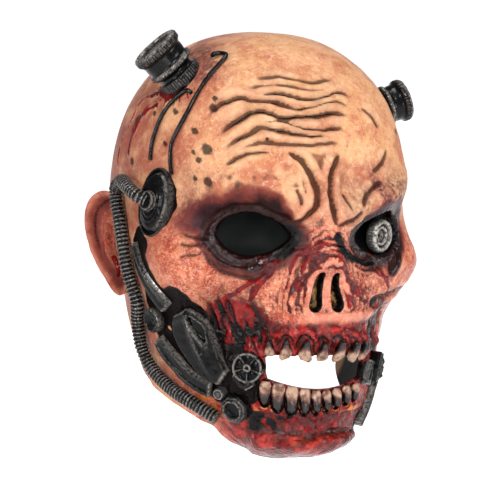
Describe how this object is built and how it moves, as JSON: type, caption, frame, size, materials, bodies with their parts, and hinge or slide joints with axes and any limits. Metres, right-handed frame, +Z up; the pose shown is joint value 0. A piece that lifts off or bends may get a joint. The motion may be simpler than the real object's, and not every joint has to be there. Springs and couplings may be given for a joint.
{
  "type": "zombie mask",
  "caption": "Hollow three-quarter latex mask of a decayed face with ears, bared teeth, screened eyes and moulded machine pieces.",
  "frame": {"origin": "inside of the crown, on the middle plane, where the mask rests on the head", "axes": "+Z up, the face looks along -Y, +X towards the mask's left ear"},
  "size_m": [0.1961, 0.1712, 0.2461],
  "materials": {
    "latex_skin": "painted latex, semi-gloss with wet red areas",
    "eye_screen": "thin dark see-through mesh",
    "teeth": "glossy ivory with brown roots",
    "gunmetal": "moulded latex painted dark gunmetal, rubbed silver edges",
    "worn_steel": "moulded latex painted worn silver",
    "black_wire": "glossy black"
  },
  "bodies": {
    "root": {"mask_skin": "latex_skin", "ear_right": "latex_skin", "ear_left": "latex_skin", "eye_screen_right": "eye_screen", "eye_screen_left": "eye_screen", "upper_teeth": "teeth", "lower_teeth": "teeth", "electrode_collar_right": "gunmetal", "electrode_drum_right": "gunmetal", "temple_disc_right": "gunmetal", "temple_hub_right": "gunmetal", "hinge_disc_right": "gunmetal", "mouth_wheel_right": "gunmetal", "chin_nut_right": "gunmetal", "cheek_plate_right": "gunmetal", "wheel_bracket_right": "gunmetal", "jaw_arm_right": "gunmetal", "hose_right": "gunmetal", "strap_right": "gunmetal", "arm_bolt_right": "worn_steel", "electrode_collar_left": "gunmetal", "electrode_drum_left": "gunmetal", "mouth_wheel_left": "gunmetal", "wheel_bracket_left": "gunmetal", "jaw_arm_left": "gunmetal", "wire_front_right": "black_wire", "wire_rear_right": "black_wire", "lens_ring_left": "worn_steel", "lens_core_left": "worn_steel"}
  },
  "joints": []
}
